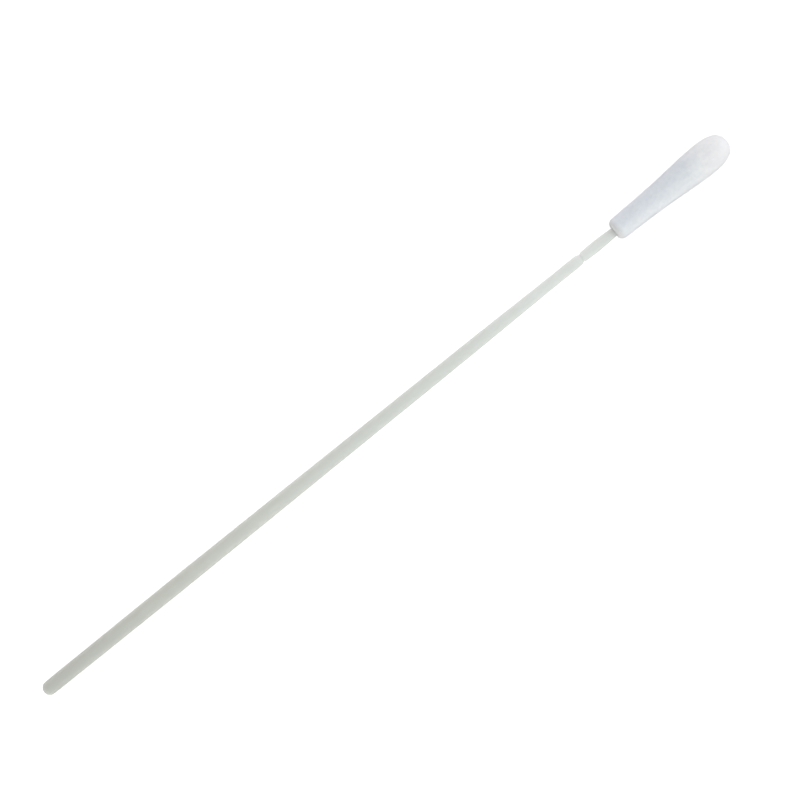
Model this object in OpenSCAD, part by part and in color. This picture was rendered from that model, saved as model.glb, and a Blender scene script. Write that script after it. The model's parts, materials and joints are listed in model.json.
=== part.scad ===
// Flocked specimen swab, in millimetres. One moulded plastic stick carries a club of short
// nylon fibres on its front end. A groove near that end lets the user snap the stick, so that
// the tip drops into a tube and the handle is thrown away. The swab lies at rest on its
// handle's rear end and on the widest ring of its tip, along +X with the tip in front.

/* [Swab] */
// Length of the whole swab, from the handle's end to the end of the fibres
swab_l = 152; // [130:1:180]

/* [Handle] */
// Diameter of the handle
handle_d = 2.9; // [2.3:0.02:3.6]
// Length of the parallel handle, with its domed end
handle_l = 38.5; // [20:0.5:60]
// Length of the domed end, which is half an ellipse
end_l = 0.85; // [0.3:0.05:1.4]

/* [Shaft] */
// Diameter where the long taper ends and the short, steeper one begins
shaft_d = 2.18; // [1.75:0.01:2.3]
// Length of the short taper
step_l = 15.5; // [8:0.5:24]
// Diameter of the thin stem behind the snap groove
stem_d = 1.82; // [1.4:0.01:2]
// Length of the thin stem, up to the middle of the snap groove
stem_l = 6; // [4:0.5:14]

/* [Snap groove] */
// Diameter at the bottom of the groove
groove_d = 1.27; // [0.9:0.01:1.4]
// Width of the groove's narrow floor
groove_w = 0.06; // [0.02:0.02:0.3]
// Radius of the long shoulder that leads from the stem into the groove
groove_rear_r = 1.35; // [0.3:0.05:1.5]
// Radius of the short shoulder on the neck's side
groove_front_r = 0.3; // [0.25:0.05:0.8]

/* [Neck] */
// Length of the neck, from the middle of the groove to the fibres
neck_l = 6; // [5.4:0.2:14]
// Diameter of the neck where it is widest
neck_d = 1.78; // [1.5:0.02:1.9]
// Distance from the middle of the groove to the neck's widest place
neck_widest = 2.4; // [1.5:0.1:3.4]
// Diameter of the neck where it goes into the fibres
neck_end_d = 1.44; // [1.3:0.02:1.6]

/* [Tip] */
// Length of the fibre-covered tip
tip_l = 20; // [14:0.5:30]
// Diameter over the fibres where the tip is widest
tip_d = 6; // [5:0.1:8]
// Diameter over the fibres at the rear end, before its edge is rounded
tip_rear_d = 4.35; // [3.6:0.05:5]
// Radius of the rounded rear edge
tip_edge_r = 0.9; // [0.3:0.1:1.2]
// Length of the domed end, in front of the widest ring
nose_l = 4.6; // [2.6:0.1:7]
// Shape of the domed end: 2 is an ellipse, and more is blunter
nose_power = 2.9; // [2:0.1:3.4]
// How far forward the flank swells: 1 swells evenly, and more swells later
swell = 1.4; // [1:0.1:2]

/* [Fibres] */
// Length of the fibres, which stand on the stick's core
pile_h = 1.2; // [0.6:0.1:1.4]
// Thickness of the glue film between the core and the fibres
glue_t = 0.05; // [0.02:0.01:0.1]

/* [Hidden] */
$fn = 96;

flank_steps = 16;   // straight pieces in the outline of a club's flank
nose_steps = 14;    // and in its domed end
edge_steps = 6;     // and in a small rounded edge
neck_steps = 10;    // and in the neck's swelling
end_steps = 12;     // and in the handle's domed end

// Stations along the stick, measured from the handle's end
tip_at = swab_l - tip_l;
groove_at = tip_at - neck_l;
stem_at = groove_at - stem_l;
step_at = stem_at - step_l;

handle_r = handle_d / 2;
neck_end_r = neck_end_d / 2;
tip_r = tip_d / 2;
tip_rear_r = tip_rear_d / 2;

// The core inside the fibres, and the fibres' inner side one glue film away from it
core_r = tip_r - pile_h;
core_l = tip_l - pile_h;
core_nose_l = nose_l - pile_h;
mouth_r = neck_end_r + glue_t;
edge_r = min(tip_edge_r, tip_rear_r - mouth_r);

// At rest the rear end of the parallel handle and the tip's widest ring touch the table
rest_tilt = asin((tip_r - handle_r) / (swab_l - nose_l - end_l));
rest_lift = handle_r - end_l * sin(rest_tilt);
rest_middle = swab_l * cos(rest_tilt) / 2;

// Outlines are lists of [distance along the axis, radius], from the rear to the front.

// An arc about centre c, from angle a to angle b
function arc(c, r, a, b, steps) =
    [for (i = [0:steps]) let (t = a + (b - a) * i / steps) c + r * [cos(t), sin(t)]];

// Radius of a club's flank, u of the way from its rear end to its widest ring
function flank_r(u, rear_r, widest_r) =
    rear_r + (widest_r - rear_r) * pow(sin(90 * pow(u, swell)), 2);

// A club: a flank that swells from the rear to the widest ring, and a domed end. It goes on
// from distance start, where the outline before it ends on the flank.
function club(length, rear_r, widest_r, dome_l, start = 0) =
    let (flank_l = length - dome_l) [
        for (i = [1:flank_steps]) let (x = start + (flank_l - start) * i / flank_steps)
            [x, flank_r(x / flank_l, rear_r, widest_r)],
        for (i = [1:nose_steps]) let (a = 90 * i / nose_steps)
            [flank_l + dome_l * pow(sin(a), 2 / nose_power), widest_r * cos(a)]
    ];

// The same outline moved along the axis
function moved(points, distance) = [for (p = points) p + [distance, 0]];

// Radius of the neck at distance x in front of the groove's middle
function neck_r(x) =
    neck_d / 2 - (neck_d - neck_end_d) / 2 * pow((x - neck_widest) / (neck_l - neck_widest), 2);

// Half of the groove, from its floor out to a surface of radius r. The shoulder is an arc
// that meets the surface smoothly and the floor at a corner.
function half_groove(r, shoulder_r) =
    let (turn = acos(max(0, 1 - (r - groove_d / 2) / shoulder_r)),
         reach = groove_w / 2 + shoulder_r * sin(turn))
    concat([[groove_w / 2, groove_d / 2]],
           arc([reach, r - shoulder_r], shoulder_r, 90 + turn, 90, edge_steps));

function mirrored(points) =
    [for (i = [len(points) - 1:-1:0]) [-points[i][0], points[i][1]]];

// Turns an outline round the axis and lays it down as the swab rests
module turned(outline) {
    translate([-rest_middle, 0, rest_lift])
        rotate([0, 90 - rest_tilt, 0])
            rotate_extrude()
                polygon([for (p = outline) [p[1], p[0]]]);
}

// The moulded stick: handle, shaft, stem, snap groove, neck, and the core inside the tip
module stick() {
    groove_rear = mirrored(half_groove(stem_d / 2, groove_rear_r));
    groove_front = half_groove(neck_r(groove_front_r), groove_front_r);
    neck_start = groove_front[len(groove_front) - 1][0];
    neck = [for (i = [1:neck_steps])
        let (x = neck_start + (neck_l - neck_start) * i / neck_steps) [x, neck_r(x)]];
    color("#cfd3ca")
        turned(concat(
            [for (i = [0:end_steps]) let (a = 90 * i / end_steps)
                [end_l * (1 - cos(a)), handle_r * sin(a)]],
            [[handle_l, handle_r], [step_at, shaft_d / 2], [stem_at, stem_d / 2]],
            moved(groove_rear, groove_at),
            moved(groove_front, groove_at),
            moved(neck, groove_at),
            moved(club(core_l, neck_end_r, core_r, core_nose_l), tip_at)
        ));
}

// The pile of fibres: one shell from the outline of their ends down to the glue on the core
module flocked_tip() {
    edge = arc([edge_r, flank_r(edge_r / (tip_l - nose_l), tip_rear_r, tip_r) - edge_r],
               edge_r, 180, 90, edge_steps);
    outside = concat(edge, club(tip_l, tip_rear_r, tip_r, nose_l, edge_r));
    inside = concat([[0, mouth_r]],
                    club(core_l + glue_t, mouth_r, core_r + glue_t, core_nose_l + glue_t));
    color("#e9eef2")
        turned(moved(concat(outside, [for (i = [len(inside) - 1:-1:0]) inside[i]]), tip_at));
}

stick();
flocked_tip();
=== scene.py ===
# %% [markdown]
# # A flocked specimen swab, step by step
#
# A specimen swab is a moulded plastic stick with a soft tip. The tip isn't wound cotton. It is
# flock: tens of thousands of short nylon fibres that an electric field drives, end on, into a
# film of glue. They stand up from the stick like the pile of a velvet. Behind the tip is a
# thin neck with a snap groove, where the user breaks the stick over the rim of a tube.
#
# This lesson dresses an exact CAD model of that swab. The CAD model is loaded first and sets
# every length. The cells after it make a plain studio, the camera, the stick, the pile and
# their materials. All lengths in Blender are in metres, so a millimetre has its own name here.

import json
import math

import bpy
import bmesh
from mathutils import Matrix, Vector, noise


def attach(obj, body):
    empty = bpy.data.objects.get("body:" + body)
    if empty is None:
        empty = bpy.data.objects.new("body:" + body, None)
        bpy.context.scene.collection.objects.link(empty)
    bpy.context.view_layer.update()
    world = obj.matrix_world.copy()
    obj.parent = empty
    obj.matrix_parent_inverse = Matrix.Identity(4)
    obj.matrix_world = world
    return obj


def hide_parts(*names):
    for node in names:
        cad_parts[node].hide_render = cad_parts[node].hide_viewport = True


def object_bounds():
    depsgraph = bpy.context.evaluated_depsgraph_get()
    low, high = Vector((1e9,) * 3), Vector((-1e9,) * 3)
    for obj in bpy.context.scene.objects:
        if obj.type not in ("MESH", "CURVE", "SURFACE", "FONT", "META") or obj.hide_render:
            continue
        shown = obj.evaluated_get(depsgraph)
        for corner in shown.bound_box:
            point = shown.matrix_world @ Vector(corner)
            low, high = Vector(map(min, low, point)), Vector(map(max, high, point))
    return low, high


MM = 0.001
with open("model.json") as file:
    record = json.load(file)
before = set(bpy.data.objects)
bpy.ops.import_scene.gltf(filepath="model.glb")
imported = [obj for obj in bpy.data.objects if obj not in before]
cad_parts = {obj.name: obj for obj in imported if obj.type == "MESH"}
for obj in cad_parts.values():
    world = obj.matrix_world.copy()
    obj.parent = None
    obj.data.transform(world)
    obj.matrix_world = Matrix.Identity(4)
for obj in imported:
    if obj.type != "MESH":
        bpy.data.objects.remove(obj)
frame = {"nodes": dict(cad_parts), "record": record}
cad_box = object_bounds()
scene = bpy.context.scene
scene.view_settings.view_transform = "Standard"
print("CAD parts:", sorted(frame["nodes"]))
print("CAD box in mm:", [[round(v / MM, 2) for v in corner] for corner in cad_box])

# %% [markdown]
# ## The swab's axis, and its outline
#
# Both parts of the swab are turned shapes: one outline, spun about one line. The line leans by
# less than a degree, because the tip is thicker than the handle and the swab lies on both. The
# record names a mount on the handle, and its axis is that line. With the line known, every
# point of the CAD mesh becomes two numbers: how far along the swab it is, and how far from the
# line. Sorted, they give the outline back, so nothing is measured twice. Points of one ring
# differ by a rounding error, so a pair that lies on one that is already kept is dropped.

# %% Read the axis and the outlines from the CAD parts
HAIR = 0.01 * MM
SAME_PLACE = 0.008 * MM
LOOK_BACK = 4


def axis_of_the_swab():
    """Give the handle's end, and the direction from there to the tip."""
    mount = next(m for m in frame["record"]["mounts"] if m["name"] == "handle_end")
    along = -Vector(mount["axis"]).normalized()
    middle = Vector(mount["pos_m"])
    reaches = [(v.co - middle).dot(along) for v in frame["nodes"]["stick"].data.vertices]
    return middle + along * min(reaches), along


HANDLE_END, ALONG = axis_of_the_swab()
SIDE = Vector((0.0, 1.0, 0.0))
UP = ALONG.cross(SIDE)


def outline_of(part):
    """Give each (distance along, distance off the line) of a turned CAD part, once each."""
    found = {}
    for vertex in frame["nodes"][part].data.vertices:
        offset = vertex.co - HANDLE_END
        distance = offset.dot(ALONG)
        radius = (offset - ALONG * distance).length
        found[(round(distance / MM, 2), round(radius / MM, 2))] = (distance, radius)
    kept = []
    for pair in sorted(found.values()):
        if all(math.dist(pair, other) > SAME_PLACE for other in kept[-LOOK_BACK:]):
            kept.append(pair)
    return kept


def at(distance, radius=0.0, angle=0.0):
    """Give the point at a distance along the swab, off its line by a radius, at an angle."""
    turned = SIDE * math.cos(angle) + UP * math.sin(angle)
    return HANDLE_END + ALONG * distance + turned * radius


stick_outline = outline_of("stick")
tip_outline = outline_of("flocked_tip")
SWAB_L = tip_outline[-1][0]
TIP_AT = tip_outline[0][0]
TIP_R = max(r for d, r in tip_outline)
MOUTH_R = min(r for d, r in tip_outline if d < TIP_AT + HAIR)
print(f"swab {SWAB_L / MM:.2f} mm, tip from {TIP_AT / MM:.2f} mm, radius {TIP_R / MM:.2f} mm")
print(f"lean {math.degrees(math.asin(ALONG.z)):.3f} degrees")
print(f"mouth radius {MOUTH_R / MM:.2f} mm")

# %% [markdown]
# ## Helpers
#
# Colours are written as hex codes, which are sRGB, as on a screen. Blender mixes light in
# linear numbers, so one function turns every code. A second function adds a node to a tree
# with its settings and its links, and serves the materials and the geometry trees alike.


# %% Helpers for colours and nodes
def linear(code):
    """Turn a hex colour into a linear one with alpha, by the curve of the sRGB standard."""
    channels = [int(code[i : i + 2], 16) / 255 for i in (1, 3, 5)]
    bent = [c / 12.92 if c <= 0.04045 else ((c + 0.055) / 1.055) ** 2.4 for c in channels]
    return (*bent, 1.0)


def add(tree, kind, inputs=None, **settings):
    """Add one node: settings are its properties, and inputs are values or other sockets."""
    made = tree.nodes.new(kind)
    for name, value in settings.items():
        setattr(made, name, value)
    for name, value in (inputs or {}).items():
        if isinstance(value, bpy.types.NodeSocket):
            tree.links.new(value, made.inputs[name])
        else:
            made.inputs[name].default_value = value
    return made


print("mid grey as linear:", [round(v, 3) for v in linear("#808080")])

# %% [markdown]
# ## The camera
#
# A swab is long and thin, so it is laid corner to corner in a square picture. The camera hangs
# almost straight above the swab, a little to its front side, and closer to the tip than to the
# handle. With a 35 mm lens that nearness makes the tip look bigger than its share of the
# length, as a hand-held close-up does. The camera is placed by real values: the point of the
# swab that it looks at, its distance, its heading and height, and its roll.

# %% Place the camera
AIM_ALONG = 90.011 * MM
AIM_ASIDE = 0.606 * MM
CAMERA_FAR = 126.50 * MM
CAMERA_HEADING = 41.301
CAMERA_HEIGHT = 69.163
CAMERA_ROLL = 78.222
LENS = 35.0
NEAREST_SEEN = 5 * MM

heading, height = math.radians(CAMERA_HEADING), math.radians(CAMERA_HEIGHT)
back = Vector(
    (
        math.sin(heading) * math.cos(height),
        -math.cos(heading) * math.cos(height),
        math.sin(height),
    )
)
aim = at(AIM_ALONG) + back.cross(ALONG).normalized() * AIM_ASIDE
camera_data = bpy.data.cameras.new("studio_camera")
camera_data.lens = LENS
camera_data.clip_start = NEAREST_SEEN
camera = bpy.data.objects.new("studio_camera", camera_data)
scene.collection.objects.link(camera)
turn = (-back).to_track_quat("-Z", "Y").to_matrix() @ Matrix.Rotation(
    -math.radians(CAMERA_ROLL), 3, "Z"
)
camera.matrix_world = Matrix.Translation(aim + back * CAMERA_FAR) @ turn.to_4x4()
scene.camera = camera
print("camera at, in mm:", [round(v / MM, 1) for v in camera.matrix_world.translation])

# %% [markdown]
# ## The floor and the light
#
# The swab is a white thing on white. The floor is a plain pale board, and a lamp's light on it
# alone would leave it light grey, so a little glow is added that only the eye, mirrors and
# glass see. It lifts the lit floor to full white, so the swab's soft shadow stays only as a
# trace in low views. The glow puts no light on the swab. The world does the same for what lies
# beyond the board.
#
# The light is that of a room with pale walls: brighter low down than overhead, a little
# brighter on the near side of the swab, and slightly warm on the far side. A large soft lamp
# of bluish daylight hangs off the tip. It gives the round forms a bright side and a dim side.

# %% Lay the floor
FLOOR_HALF = 1.5
FLOOR_DROP = HAIR
BOARD_PAINT = "#FCFCFC"
BOARD_GLOW = 0.5


def seen_directly(tree):
    """Give a socket that is 1 for rays of the eye, mirrors and glass, and 0 for others."""
    path = add(tree, "ShaderNodeLightPath").outputs
    mirror = {0: path["Is Camera Ray"], 1: path["Is Glossy Ray"]}
    mirror = add(tree, "ShaderNodeMath", mirror).outputs[0]
    glass = {0: mirror, 1: path["Is Transmission Ray"]}
    return add(tree, "ShaderNodeMath", glass, use_clamp=True).outputs[0]


def painted_board():
    """White emulsion paint on a board: matt and pale, with a glow for the eye alone."""
    made = bpy.data.materials.new("painted_board")
    made.use_nodes = True
    tree = made.node_tree
    tree.nodes.clear()
    paint = add(tree, "ShaderNodeBsdfDiffuse", {"Color": linear(BOARD_PAINT)})
    power = {0: seen_directly(tree), 1: BOARD_GLOW}
    power = add(tree, "ShaderNodeMath", power, operation="MULTIPLY").outputs[0]
    glow = add(tree, "ShaderNodeEmission", {"Strength": power})
    both = add(tree, "ShaderNodeAddShader", {0: paint.outputs[0], 1: glow.outputs[0]})
    add(tree, "ShaderNodeOutputMaterial", {"Surface": both.outputs[0]})
    return made


floor_mesh = bpy.data.meshes.new("studio_floor")
floor_form = bmesh.new()
bmesh.ops.create_grid(floor_form, x_segments=1, y_segments=1, size=FLOOR_HALF)
under = cad_box[0].z - FLOOR_DROP
bmesh.ops.translate(floor_form, verts=floor_form.verts, vec=(0, 0, under))
floor_form.to_mesh(floor_mesh)
floor_form.free()
floor_mesh.materials.append(painted_board())
floor = bpy.data.objects.new("studio_floor", floor_mesh)
scene.collection.objects.link(floor)
print("floor at", round(floor_mesh.vertices[0].co.z / MM, 3), "mm")

# %% Hang the light
SKY_LOW = 1.44
SKY_HIGH = 0.62
SKY_SIDE = 0.2
SKY_NEAR_TINT, SKY_FAR_TINT = "#FFFFFF", "#FFF5F3"
LAMP_POWER = 0.326
LAMP_TINT = "#E6F1FF"
LAMP_SIZE = 0.3
LAMP_FAR = 0.36
LAMP_OVER = SWAB_L - 12 * MM
LAMP_FROM = Vector((0.78, 0.4, 0.55)).normalized()

world = bpy.data.worlds.new("studio_air")
world.use_nodes = True
air = world.node_tree
air.nodes.clear()
way = add(air, "ShaderNodeTexCoord").outputs["Generated"]
way = add(air, "ShaderNodeSeparateXYZ", {0: way}).outputs
power = {"Value": way["Z"], "To Min": SKY_LOW, "To Max": SKY_HIGH}
power = add(air, "ShaderNodeMapRange", power).outputs[0]
power = {0: way["Y"], 1: -SKY_SIDE, 2: power}
power = add(air, "ShaderNodeMath", power, operation="MULTIPLY_ADD").outputs[0]
tint = {0: way["Y"], 6: linear(SKY_NEAR_TINT), 7: linear(SKY_FAR_TINT)}
tint = add(air, "ShaderNodeMix", tint, data_type="RGBA").outputs[2]
sky = add(air, "ShaderNodeBackground", {"Color": tint, "Strength": power})
white = add(air, "ShaderNodeBackground", {"Color": linear("#FFFFFF"), "Strength": 1.0})
either = {0: seen_directly(air), 1: sky.outputs[0], 2: white.outputs[0]}
either = add(air, "ShaderNodeMixShader", either)
add(air, "ShaderNodeOutputWorld", {"Surface": either.outputs[0]})
scene.world = world

lamp_data = bpy.data.lights.new("soft_lamp", "AREA")
lamp_data.shape = "DISK"
lamp_data.size = LAMP_SIZE
lamp_data.energy = LAMP_POWER
lamp_data.color = linear(LAMP_TINT)[:3]
lamp = bpy.data.objects.new("soft_lamp", lamp_data)
scene.collection.objects.link(lamp)
lamp.matrix_world = (
    Matrix.Translation(at(LAMP_OVER) + LAMP_FROM * LAMP_FAR)
    @ (-LAMP_FROM).to_track_quat("-Z", "Y").to_matrix().to_4x4()
)
print("sky", SKY_HIGH, "to", SKY_LOW, "and lamp", LAMP_POWER, "W at", LAMP_FAR, "m")

# %% [markdown]
# ## The stick's material
#
# The stick is natural ABS: no pigment, a faint grey-green of its own, and milky, because light
# scatters inside it before it comes back. A thick place swallows more of that light than a
# thin one, so the handle looks deeper in colour than the neck. The colour is also darker
# towards the handle's end: that is painted shade, for the light that falls off along the
# stick. The last few millimetres before the tip are darker as well: painted shadow, where the
# tip shades the neck. The mould was finished along its length, which gives a satin skin with
# the faintest lengthwise streaks. Real ones are a few hundredths of a millimetre wide, and
# they are drawn coarser, at 0.12 mm, so that a close view shows them.

# %% What the ABS looks like, and over what sizes
ABS_THIN, ABS_THICK = "#C5C9C5", "#BABDB6"
THIN_PLACE, THICK_PLACE = 1.8 * MM, 2.9 * MM
DEEPENS = 1.4
CLOUD_SIZE, CLOUD_TONES = 2.5 * MM, (0.98, 1.02)
# Painted shade: the colour darkens towards the handle's end, for light that falls off there.
HANDLE_SHADE_REACH, HANDLE_SHADE_TONE = 42 * MM, 0.88
# Painted shadow: darker over the last few millimetres of the neck, under the tip.
NECK_SHADOW_REACH, NECK_SHADOW_TONE = 5 * MM, 0.94
STREAK_SIZE, STREAK_SQUEEZE = 0.12 * MM, 0.05
STREAK_HEIGHT, STREAK_SHARE = 0.004 * MM, 0.15
SATIN = (0.5, 0.6)
ABS_GLOW_REACH = 4.0 * MM
print("ABS", ABS_THIN, "where thin and", ABS_THICK, "where thick")


# %% Moulded ABS
def moulded_abs():
    """Natural ABS from a satin mould: milky, and deeper in colour where it is thick."""
    made = bpy.data.materials.new("moulded_abs")
    made.use_nodes = True
    tree = made.node_tree
    tree.nodes.clear()
    where = add(tree, "ShaderNodeTexCoord").outputs["Object"]
    thick = add(tree, "ShaderNodeAttribute", attribute_name="thickness").outputs["Fac"]
    depth = {"Value": thick, "From Min": THIN_PLACE, "From Max": THICK_PLACE}
    depth = add(tree, "ShaderNodeMapRange", depth).outputs[0]
    depth = {0: depth, 1: DEEPENS}
    depth = add(tree, "ShaderNodeMath", depth, operation="POWER").outputs[0]
    body = {0: depth, 6: linear(ABS_THIN), 7: linear(ABS_THICK)}
    body = add(tree, "ShaderNodeMix", body, data_type="RGBA")
    cloud = {"Vector": where, "Scale": 1 / CLOUD_SIZE, "Detail": 2.0}
    cloud = add(tree, "ShaderNodeTexNoise", cloud).outputs["Fac"]
    drift = {"Value": cloud, "To Min": CLOUD_TONES[0], "To Max": CLOUD_TONES[1]}
    drift = add(tree, "ShaderNodeMapRange", drift).outputs[0]
    place = add(tree, "ShaderNodeSeparateXYZ", {0: where}).outputs["X"]
    # Painted shade: darker towards the handle's end.
    painted_handle_shade = {"Value": place, "From Min": at(0.0).x, "From Max": at(HANDLE_SHADE_REACH).x}
    painted_handle_shade.update({"To Min": HANDLE_SHADE_TONE, "To Max": 1.0})
    painted_handle_shade = add(tree, "ShaderNodeMapRange", painted_handle_shade).outputs[0]
    # Painted shadow on the neck, just behind the tip.
    painted_join_shadow = {"Value": place, "From Min": at(TIP_AT - NECK_SHADOW_REACH).x, "From Max": at(TIP_AT).x}
    painted_join_shadow.update({"To Min": 1.0, "To Max": NECK_SHADOW_TONE})
    painted_join_shadow = add(tree, "ShaderNodeMapRange", painted_join_shadow).outputs[0]
    for part in (painted_handle_shade, painted_join_shadow):
        both = {0: drift, 1: part}
        drift = add(tree, "ShaderNodeMath", both, operation="MULTIPLY").outputs[0]
    tone = {0: body.outputs[2], "Scale": drift}
    tone = add(tree, "ShaderNodeVectorMath", tone, operation="SCALE")
    drawn = {"Vector": where, "Scale": (STREAK_SQUEEZE, 1.0, 1.0)}
    drawn = add(tree, "ShaderNodeMapping", drawn).outputs[0]
    streak = {"Vector": drawn, "Scale": 1 / STREAK_SIZE, "Detail": 3.0}
    streak = add(tree, "ShaderNodeTexNoise", streak).outputs["Fac"]
    rough = {"Value": streak, "To Min": SATIN[0], "To Max": SATIN[1]}
    rough = add(tree, "ShaderNodeMapRange", rough).outputs[0]
    skin = {"Height": streak, "Strength": STREAK_SHARE, "Distance": STREAK_HEIGHT}
    skin = add(tree, "ShaderNodeBump", skin)
    plastic = add(
        tree,
        "ShaderNodeBsdfPrincipled",
        {
            "Base Color": tone.outputs[0],
            "Roughness": rough,
            "IOR": 1.54,
            "Specular IOR Level": 0.3,
            "Subsurface Weight": 1.0,
            "Subsurface Radius": (1.0, 1.0, 1.0),
            "Subsurface Scale": ABS_GLOW_REACH,
            "Normal": skin.outputs[0],
        },
    )
    add(tree, "ShaderNodeOutputMaterial", {"Surface": plastic.outputs[0]})
    return made


abs_plastic = moulded_abs()
print("stick material:", abs_plastic.name, "with", len(abs_plastic.node_tree.nodes), "nodes")

# %% [markdown]
# ## The stick
#
# The stick is one shot of plastic from a slender mould: a parallel handle, two tapers, the
# thin stem, the snap groove, a slightly barrelled neck, and a core that hides in the pile. It
# is a rod whose radius follows a rule along its length, which suits Geometry Nodes: a line of
# points carries the radius of each station, and a ring is swept along it. A mould closes in
# two halves, so the rod also gets the hair-fine ridge that they leave on both sides. A high
# power of how far a face looks sideways keeps that ridge narrow.

# %% Lay the stations of the stick's outline
STATION_GAP = 0.8 * MM


def closer_stations(outline, gap):
    """Add stations to an outline, so that no two are further apart than the gap."""
    made = []
    for (d0, r0), (d1, r1) in zip(outline, outline[1:]):
        steps = max(1, math.ceil((d1 - d0) / gap))
        for i in range(steps):
            made.append((d0 + (d1 - d0) * i / steps, r0 + (r1 - r0) * i / steps))
    return made + [outline[-1]]


def station_line(name, rows):
    """Make a chain of points on the swab's line, with each ring's radius as an attribute."""
    mesh = bpy.data.meshes.new(name)
    links = [(i, i + 1) for i in range(len(rows) - 1)]
    mesh.from_pydata([at(d) for d, r in rows], links, [])
    radius = mesh.attributes.new("ring_radius", "FLOAT", "POINT")
    radius.data.foreach_set("value", [r for d, r in rows])
    made = bpy.data.objects.new(name, mesh)
    scene.collection.objects.link(made)
    return made


stations = closer_stations(stick_outline, STATION_GAP)
stick = station_line("moulded_stick", stations)
print(len(stick_outline), "CAD stations became", len(stations))


# %% Helpers that start and run a geometry tree
def geometry_tree(name, result, **asked):
    """Start a geometry tree: its inputs' names and kinds, and the name of what it gives."""
    tree = bpy.data.node_groups.new(name, "GeometryNodeTree")
    for wanted, kind in asked.items():
        label = wanted.replace("_", " ")
        tree.interface.new_socket(label, in_out="INPUT", socket_type="NodeSocket" + kind)
    tree.interface.new_socket(result, in_out="OUTPUT", socket_type="NodeSocketGeometry")
    return tree, add(tree, "NodeGroupInput").outputs


def grown(piece, tree, **values):
    """Run a geometry tree on a piece, keep the result as its plain mesh, and drop the tree."""
    modifier = piece.modifiers.new(tree.name, "NODES")
    modifier.node_group = tree
    asked = [s for s in tree.interface.items_tree if s.in_out == "INPUT"]
    names = {s.name: s.identifier for s in asked}
    for name, value in values.items():
        modifier[names[name.replace("_", " ")]] = value
    shown = piece.evaluated_get(bpy.context.evaluated_depsgraph_get())
    mesh = bpy.data.meshes.new_from_object(shown)
    mesh.name = piece.name
    piece.modifiers.clear()
    piece.data = mesh
    return piece


def facing_out(mesh):
    """Turn the faces of a closed mesh outwards, and give its volume in cubic millimetres."""
    form = bmesh.new()
    form.from_mesh(mesh)
    volume = form.calc_volume(signed=True)
    if volume < 0:
        bmesh.ops.reverse_faces(form, faces=form.faces)
        form.to_mesh(mesh)
    open_edges = sum(not edge.is_manifold for edge in form.edges)
    form.free()
    return abs(volume) / MM**3, open_edges


print("ready to start, run and check a geometry tree")

# %% A geometry tree that sweeps a ring along the stations
ONE_POINT = 0.0005 * MM
RIDGE_POWER = 500.0


def moulded_rod():
    """Stations with a radius become a round rod with two mould ridges and closed ends."""
    tree, given = geometry_tree(
        "moulded_rod",
        "Rod",
        Stations="Geometry",
        Sides="Int",
        Ridge_height="Float",
        Plastic="Material",
    )
    radius = add(tree, "GeometryNodeInputNamedAttribute", {"Name": "ring_radius"}).outputs[0]
    path = add(tree, "GeometryNodeMeshToCurve", {"Mesh": given["Stations"]}).outputs[0]
    ring = {"Resolution": given["Sides"], "Radius": 1.0}
    ring = add(tree, "GeometryNodeCurvePrimitiveCircle", ring).outputs[0]
    swept = {"Curve": path, "Profile Curve": ring, "Scale": radius}
    swept = add(tree, "GeometryNodeCurveToMesh", swept).outputs[0]
    closed = {"Geometry": swept, "Distance": ONE_POINT}
    closed = add(tree, "GeometryNodeMergeByDistance", closed).outputs[0]
    double = {0: radius, 1: 2.0}
    double = add(tree, "ShaderNodeMath", double, operation="MULTIPLY").outputs[0]
    kept = {"Geometry": closed, "Name": "thickness", "Value": double}
    kept = add(tree, "GeometryNodeStoreNamedAttribute", kept).outputs[0]
    facing = add(tree, "GeometryNodeInputNormal").outputs[0]
    sideways = add(tree, "ShaderNodeSeparateXYZ", {0: facing}).outputs["Y"]
    both = add(tree, "ShaderNodeMath", {0: sideways}, operation="ABSOLUTE").outputs[0]
    sharp = {0: both, 1: RIDGE_POWER}
    sharp = add(tree, "ShaderNodeMath", sharp, operation="POWER").outputs[0]
    lift = {0: sharp, 1: given["Ridge height"]}
    lift = add(tree, "ShaderNodeMath", lift, operation="MULTIPLY").outputs[0]
    offset = add(tree, "ShaderNodeVectorMath", {0: facing, "Scale": lift}, operation="SCALE")
    ridged = {"Geometry": kept, "Offset": offset.outputs[0]}
    ridged = add(tree, "GeometryNodeSetPosition", ridged).outputs[0]
    smooth = add(tree, "GeometryNodeSetShadeSmooth", {"Geometry": ridged}).outputs[0]
    real = add(tree, "GeometryNodeRealizeInstances", {"Geometry": smooth}).outputs[0]
    dressed = {"Geometry": real, "Material": given["Plastic"]}
    dressed = add(tree, "GeometryNodeSetMaterial", dressed).outputs[0]
    add(tree, "NodeGroupOutput", {0: dressed})
    return tree


rod_tree = moulded_rod()
print("rod tree:", len(rod_tree.nodes), "nodes")

# %% Grow the stick
STICK_SIDES = 96
RIDGE = 0.012 * MM
grown(stick, rod_tree, Sides=STICK_SIDES, Ridge_height=RIDGE, Plastic=abs_plastic)
stick_volume, stick_gaps = facing_out(stick.data)
print(f"stick {stick_volume:.1f} mm3, {stick_gaps} open edges")
print(len(stick.data.polygons), "faces")
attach(stick, "root")
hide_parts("stick")

# %% [markdown]
# ## The pile's material
#
# Flock is cut nylon tow, about a fiftieth of a millimetre thick and a little over one
# millimetre long. Each fibre is clear, but a forest of them throws light about until nearly
# all of it comes back, so the pile is a clean cool white with no gloss. Where the fibres lean
# together in tufts, light and shade drift by a few hundredths. The pile is densest at the
# nose. Over the rear of the club the colour is a shade darker and cooler, fading out before
# the nose. On the far side of that rear part it is darker still: painted shade, for the light
# that falls more on the near side. At the rear rim the fibres are greyed: painted shadow,
# where the pile meets the neck.

# %% What the flock looks like, and over what sizes
FLOCK_CLOUD, FLOCK_TONES = 0.55 * MM, (0.35, 0.65)
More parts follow.
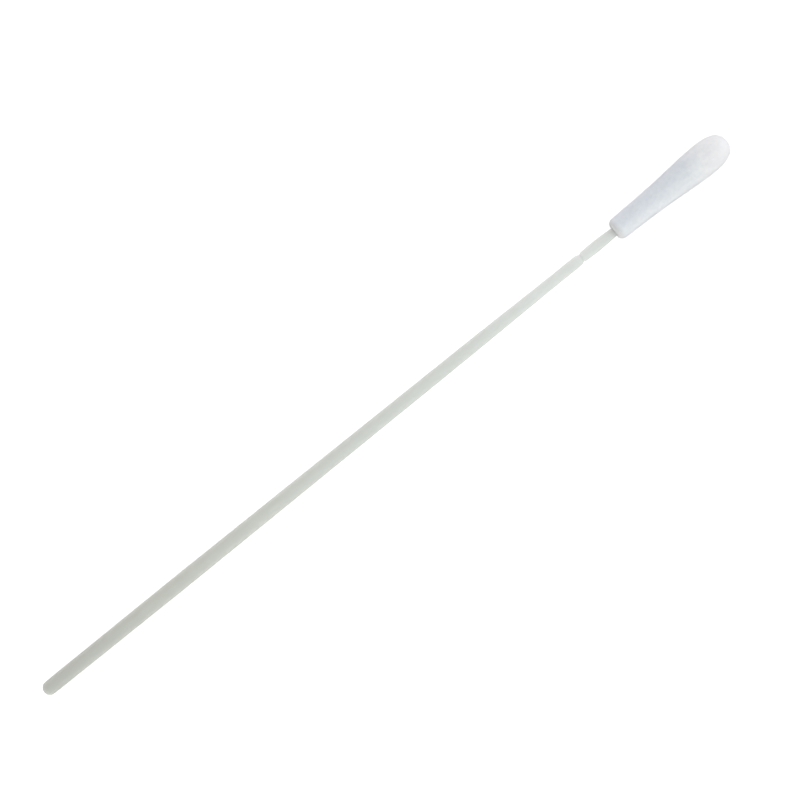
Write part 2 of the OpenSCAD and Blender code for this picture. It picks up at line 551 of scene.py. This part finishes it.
# A darker, cooler tone over the rear of the tip, fading out before the nose.
REAR_TONE_AND_SIDE_SHADE_TINT = "#DDE3EA"
REAR_TONE_STOPS = ((0.62, 1.0), (0.75, 0.27), (0.82, 0.22), (0.88, 0.0))
# Painted shade: the far side of the pile's rear is darker than the near side.
NEAR_SIDE_Y, FAR_SIDE_Y = -2.0 * MM, 1.6 * MM
NEAR_SIDE_SHADE, FAR_SIDE_SHADE = 0.25, 0.74
# Painted shadow on the pile's rear rim, where it meets the neck.
JOIN_SHADOW_TINT = "#F1EEEA"
JOIN_SHADOW_FULL, JOIN_SHADOW_GONE = 0.3 * MM, 1.0 * MM
FLOCK_GLOW_REACH = 0.4 * MM
# Where the darker rear tone of the pile ends, as a share of the tip's length.
print("the core stops showing", REAR_TONE_STOPS[-1][0], "of the way to the nose")


# %% Nylon flock
def nylon_flock(name, deep, pale):
    """Cut nylon fibres, standing on end: matt, cool white, and cloudy where they tuft."""
    made = bpy.data.materials.new(name)
    made.use_nodes = True
    tree = made.node_tree
    tree.nodes.clear()
    where = add(tree, "ShaderNodeTexCoord").outputs["Object"]
    tufts = {"Vector": where, "Scale": 1 / FLOCK_CLOUD, "Detail": 2.0, "Roughness": 0.6}
    tufts = add(tree, "ShaderNodeTexNoise", tufts).outputs["Fac"]
    drift = {"Value": tufts, "From Min": FLOCK_TONES[0], "From Max": FLOCK_TONES[1]}
    drift = add(tree, "ShaderNodeMapRange", drift).outputs[0]
    tone = {0: drift, 6: linear(deep), 7: linear(pale)}
    tone = add(tree, "ShaderNodeMix", tone, data_type="RGBA").outputs[2]
    place = add(tree, "ShaderNodeSeparateXYZ", {0: where})
    # A tone along the tip: darker and cooler over the rear, fading out before the nose.
    thin = {"Value": place.outputs["X"], "From Min": at(TIP_AT).x, "From Max": at(SWAB_L).x}
    thin = add(tree, "ShaderNodeMapRange", thin).outputs[0]
    thin = add(tree, "ShaderNodeValToRGB", {"Fac": thin})
    stops = thin.color_ramp.elements
    for share, shows in REAR_TONE_STOPS[1:-1]:
        stops.new(share).color = (shows, shows, shows, 1.0)
    for stop, (share, shows) in ((stops[0], REAR_TONE_STOPS[0]), (stops[-1], REAR_TONE_STOPS[-1])):
        stop.position, stop.color = share, (shows, shows, shows, 1.0)
    # Painted shade: the far side of the pile's rear is darker than the near side.
    across = {"Value": place.outputs["Y"], "From Min": NEAR_SIDE_Y, "From Max": FAR_SIDE_Y}
    across.update({"To Min": NEAR_SIDE_SHADE, "To Max": FAR_SIDE_SHADE})
    across = add(tree, "ShaderNodeMapRange", across).outputs[0]
    shown = {0: thin.outputs["Color"], 1: across}
    shown = add(tree, "ShaderNodeMath", shown, operation="MULTIPLY").outputs[0]
    # The rear tone, with the painted shade of its far side, laid on as one darker tint.
    core = {0: shown, 6: tone, 7: linear(REAR_TONE_AND_SIDE_SHADE_TINT)}
    core = add(tree, "ShaderNodeMix", core, data_type="RGBA", blend_type="MULTIPLY")
    # Painted shadow on the pile's rear rim, where it meets the neck.
    rim = {"Value": place.outputs["X"], "To Min": 1.0, "To Max": 0.0}
    rim.update({"From Min": at(TIP_AT + JOIN_SHADOW_FULL).x, "From Max": at(TIP_AT + JOIN_SHADOW_GONE).x})
    rim = add(tree, "ShaderNodeMapRange", rim).outputs[0]
    painted_join_shadow = {0: rim, 6: core.outputs[2], 7: linear(JOIN_SHADOW_TINT)}
    painted_join_shadow = add(tree, "ShaderNodeMix", painted_join_shadow, data_type="RGBA", blend_type="MULTIPLY")
    fibre = add(
        tree,
        "ShaderNodeBsdfPrincipled",
        {
            "Base Color": painted_join_shadow.outputs[2],
            "Roughness": 0.8,
            "IOR": 1.53,
            "Specular IOR Level": 0.3,
            "Sheen Weight": 1.0,
            "Sheen Roughness": 0.35,
            "Subsurface Weight": 1.0,
            "Subsurface Radius": (1.0, 1.0, 1.0),
            "Subsurface Scale": FLOCK_GLOW_REACH,
        },
    )
    add(tree, "ShaderNodeOutputMaterial", {"Surface": fibre.outputs[0]})
    return made


flock_below = nylon_flock("nylon_flock_below", "#F3F6F8", "#FBFDFD")
flock_ends = nylon_flock("nylon_flock_ends", "#F7F9FB", "#FEFFFF")
print("pile materials:", flock_below.name, "and", flock_ends.name)

# %% [markdown]
# ## The bed of the pile
#
# Seen from outside, the lower part of a dense pile is one soft mass: the eye gets no further
# than a few tenths of a millimetre between the fibres. So the pile is made in two parts. The
# bed is a closed, slightly lumpy body where that view ends, and the fibres stand on it. The
# bed is the CAD outline drawn in by a share of its radius, and at the nose also along the
# swab, where only the longest fibres reach the end. It is closed round the stick with the same
# hollow as the CAD part.

# %% Work out the bed's outline
BED_SHARE = 0.802
BEHIND_POWER = 1.05
NOSE_POWER = 0.78
FULLER = 0.02
REAR_INSET = 0.02 * MM
NOSE_INSET = 0.52 * MM
ROW_GAP = 0.12 * MM
ON_THE_CORE = 0.09 * MM
FINE_GAP = 0.05 * MM


def near_the_stick(station, stick_rows):
    """Say whether a station of the tip's outline lies on the hollow that holds the core."""
    return min(math.dist(station, row) for row in stick_rows) < ON_THE_CORE


fine_stick = closer_stations(stick_outline, FINE_GAP)
hollow = [s for s in tip_outline if near_the_stick(s, fine_stick)]
outside = [s for s in tip_outline if s not in hollow]
if outside[-1][1] > HAIR:
    outside.append((SWAB_L, 0.0))
outside = closer_stations(outside, ROW_GAP)
widest = max(outside, key=lambda row: row[1])[0]


def bed_row(distance, radius):
    """Draw one row of the outline in, to where the view between the fibres ends."""
    if distance < widest:
        share = (widest - distance) / (widest - TIP_AT)
        moved, power = distance + REAR_INSET * share, BEHIND_POWER
        radius *= 1 - FULLER * math.sin(math.tau * share)
    else:
        share = (distance - widest) / (SWAB_L - widest)
        moved, power = distance - NOSE_INSET * share, NOSE_POWER
    return moved, BED_SHARE * TIP_R * (radius / TIP_R) ** power


bed_rows = [bed_row(d, r) for d, r in outside]
reach_rows = [math.dist(a, b) for a, b in zip(outside, bed_rows)]
print(len(outside), "rows outside,", len(hollow), "in the hollow")
print(f"bed radius {max(r for d, r in bed_rows) / MM:.2f} mm")
print(f"farthest reach of a fibre {max(reach_rows) / MM:.2f} mm")


# %% Helpers that spin rows and push lumps
SIDES = 150
POLE = 0.001 * MM
TUFT_LUMP, FINE_LUMP = 0.7 * MM, 0.25 * MM
TUFT_SHARE = 0.5


def spun(name, rows, reaches, closed=False):
    """Spin rows of (distance, radius) about the swab's line; a row of no radius is a pole."""
    points, rings, kept = [], [], []
    for (distance, radius), reach in zip(rows, reaches):
        count = 1 if radius < POLE else SIDES
        rings.append([len(points) + i for i in range(count)])
        points += [at(distance, radius, math.tau * i / SIDES) for i in range(count)]
        kept += [reach] * count
    faces = []
    for near, far in zip(rings, rings[1:] + rings[:1] if closed else rings[1:]):
        for i in range(SIDES):
            j = (i + 1) % SIDES
            near_pair = [near[i % len(near)], near[j % len(near)]]
            far_pair = [far[j % len(far)], far[i % len(far)]]
            faces.append(list(dict.fromkeys(near_pair + far_pair)))
    mesh = bpy.data.meshes.new(name)
    mesh.from_pydata(points, [], [f for f in faces if len(f) > 2])
    mesh.shade_smooth()
    mesh.attributes.new("reach", "FLOAT", "POINT").data.foreach_set("value", kept)
    made = bpy.data.objects.new(name, mesh)
    scene.collection.objects.link(made)
    return made


def lumpy(mesh, amount):
    """Push the outside in and out by soft noise, at the size of the pile's tufts."""
    outward = [v.normal.copy() for v in mesh.vertices]
    for vertex, normal, reach in zip(mesh.vertices, outward, mesh.attributes["reach"].data):
        if reach.value > 0:
            tuft = noise.noise(vertex.co / TUFT_LUMP)
            fine = noise.noise(vertex.co / FINE_LUMP)
            vertex.co += normal * amount * (TUFT_SHARE * tuft + fine)


print("lumps of", TUFT_LUMP / MM, "and", FINE_LUMP / MM, "mm across")

# %% Spin the bed
LUMP = 0.03 * MM
MOUTH_GAP, END_GAP = 0.1 * MM, 0.002 * MM
ONE_ROW_IN = 4
mouth = (bed_rows[0][0], MOUTH_R)
hollow_end = max(d for d, r in hollow)
inner = (mouth[0] + MOUTH_GAP, hollow_end - END_GAP)
hollow_rows = [s for s in hollow if inner[0] < s[0] < inner[1]][::ONE_ROW_IN]
closed_rows = [mouth, *bed_rows, (hollow_end, 0.0), *reversed(hollow_rows)]
closed_reaches = [0.0, *reach_rows, *[0.0] * (len(hollow_rows) + 1)]
bed = spun("pile_bed", closed_rows, closed_reaches, closed=True)
facing_out(bed.data)
lumpy(bed.data, LUMP)
bed_volume, bed_gaps = facing_out(bed.data)
bed.data.materials.append(flock_below)
print(f"bed {bed_volume:.1f} mm3, {bed_gaps} open edges")
print(len(bed.data.polygons), "faces")
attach(bed, "root")
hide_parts("flocked_tip")

# %% [markdown]
# ## The fibres
#
# Tens of thousands of like fibres that stand on a surface are a task for Geometry Nodes. The
# tree scatters points over the bed with a fixed seed, and stands a slim closed spike of four
# faces on each. The spike leans away from upright by a slow noise, which is shared by its
# neighbours and so makes tufts, and by a quick one of its own. Most ends stop at about one
# height, as cut flock does. A few stray ones go on, and the longest of them come close to the
# CAD outline: the bed keeps the distance to it at each point, as an attribute named reach.
#
# The fibres are 0.018 mm thick, as real flock is. Two layers of some 28,000, each with its own
# seed, keep every piece's mesh small.

# %% A geometry tree that stands fibres on a surface
SPIKE_SIDES = 3
OWN_LEAN = 0.16
SHORTEST, LONGEST = 0.7, 1.1
LENGTH_SEED = 99


def standing_fibres():
    """A surface with a reach attribute grows fibres that lean in tufts and stop within it."""
    tree, given = geometry_tree(
        "standing_fibres",
        "Pile",
        Surface="Geometry",
        Fibres_per_area="Float",
        Thickness="Float",
        Usual_height="Float",
        Stray_power="Float",
        Lean="Float",
        Tuft_size="Float",
        Seed="Int",
        Fibre="Material",
    )

    roots = {"Mesh": given["Surface"], "Density": given["Fibres per area"]}
    roots["Seed"] = given["Seed"]
    roots = add(tree, "GeometryNodeDistributePointsOnFaces", roots)
    spike = {"Vertices": SPIKE_SIDES, "Radius Top": 0.0, "Radius Bottom": 0.5, "Depth": 1.0}
    spike = add(tree, "GeometryNodeMeshCone", spike, fill_type="NGON").outputs[0]

    here = add(tree, "GeometryNodeInputPosition").outputs[0]
    size = add(tree, "ShaderNodeMath", {0: 1.0, 1: given["Tuft size"]}, operation="DIVIDE")
    tuft = {"Vector": here, "Scale": size.outputs[0], "Detail": 1.0}
    tuft = add(tree, "ShaderNodeTexNoise", tuft).outputs["Color"]
    shared = {0: tuft, 1: (0.5, 0.5, 0.5)}
    shared = add(tree, "ShaderNodeVectorMath", shared, operation="SUBTRACT").outputs[0]
    own = {0: (-OWN_LEAN,) * 3, 1: (OWN_LEAN,) * 3, "Seed": given["Seed"]}
    own = add(tree, "FunctionNodeRandomValue", own, data_type="FLOAT_VECTOR").outputs[0]
    both = add(tree, "ShaderNodeVectorMath", {0: shared, 1: own}).outputs[0]
    lean = {0: both, "Scale": given["Lean"]}
    lean = add(tree, "ShaderNodeVectorMath", lean, operation="SCALE").outputs[0]
    way = {0: roots.outputs["Normal"], 1: lean}
    way = add(tree, "ShaderNodeVectorMath", way).outputs[0]
    turned = add(tree, "FunctionNodeAlignRotationToVector", {"Vector": way}, axis="Z")

    chance = {2: 0.0, 3: 1.0, "Seed": given["Seed"]}
    chance = add(tree, "FunctionNodeRandomValue", chance, data_type="FLOAT").outputs[1]
    reach = add(tree, "GeometryNodeInputNamedAttribute", {"Name": "reach"}).outputs[0]
    spare = {0: reach, 1: given["Usual height"]}
    spare = add(tree, "ShaderNodeMath", spare, operation="SUBTRACT")
    spare = add(tree, "ShaderNodeMath", {0: spare.outputs[0], 1: 0.0}, operation="MAXIMUM")
    rare = {0: chance, 1: given["Stray power"]}
    rare = add(tree, "ShaderNodeMath", rare, operation="POWER").outputs[0]
    stray = {0: rare, 1: spare.outputs[0]}
    stray = add(tree, "ShaderNodeMath", stray, operation="MULTIPLY").outputs[0]
    uneven = {2: SHORTEST, 3: LONGEST, "Seed": LENGTH_SEED}
    uneven = add(tree, "FunctionNodeRandomValue", uneven, data_type="FLOAT")
    usual = {0: uneven.outputs[1], 1: given["Usual height"], 2: stray}
    length = add(tree, "ShaderNodeMath", usual, operation="MULTIPLY_ADD").outputs[0]
    width = given["Thickness"]
    scale = add(tree, "ShaderNodeCombineXYZ", {0: width, 1: width, 2: length}).outputs[0]

    stood = {"Points": roots.outputs["Points"], "Instance": spike, "Scale": scale}
    stood["Rotation"] = turned.outputs[0]
    stood = add(tree, "GeometryNodeInstanceOnPoints", stood).outputs[0]
    real = add(tree, "GeometryNodeRealizeInstances", {"Geometry": stood}).outputs[0]
    smooth = add(tree, "GeometryNodeSetShadeSmooth", {"Geometry": real}).outputs[0]
    dressed = {"Geometry": smooth, "Material": given["Fibre"]}
    dressed = add(tree, "GeometryNodeSetMaterial", dressed).outputs[0]
    add(tree, "NodeGroupOutput", {0: dressed})
    return tree


fibre_tree = standing_fibres()
print("fibre tree:", len(fibre_tree.nodes), "nodes")

# %% Stand the fibres, layer by layer
LAYERS = 2
FIBRES_PER_AREA = 1.1e8
FIBRE_THICK = 0.018 * MM
USUAL_HEIGHT = 0.13 * MM
STRAY_POWER = 24.0
LEAN = 0.8
TUFT_SIZE = 0.8 * MM
FACES_EACH = SPIKE_SIDES + 1

for layer in range(1, LAYERS + 1):
    pile = spun(f"pile_fibres_{layer}", bed_rows, reach_rows)
    facing_out(pile.data)
    lumpy(pile.data, LUMP)
    grown(
        pile,
        fibre_tree,
        Fibres_per_area=FIBRES_PER_AREA,
        Thickness=FIBRE_THICK,
        Usual_height=USUAL_HEIGHT,
        Stray_power=STRAY_POWER,
        Lean=LEAN,
        Tuft_size=TUFT_SIZE,
        Seed=10 * layer,
        Fibre=flock_ends,
    )
    print(pile.name, len(pile.data.polygons) // FACES_EACH, "fibres")
    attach(pile, "root")
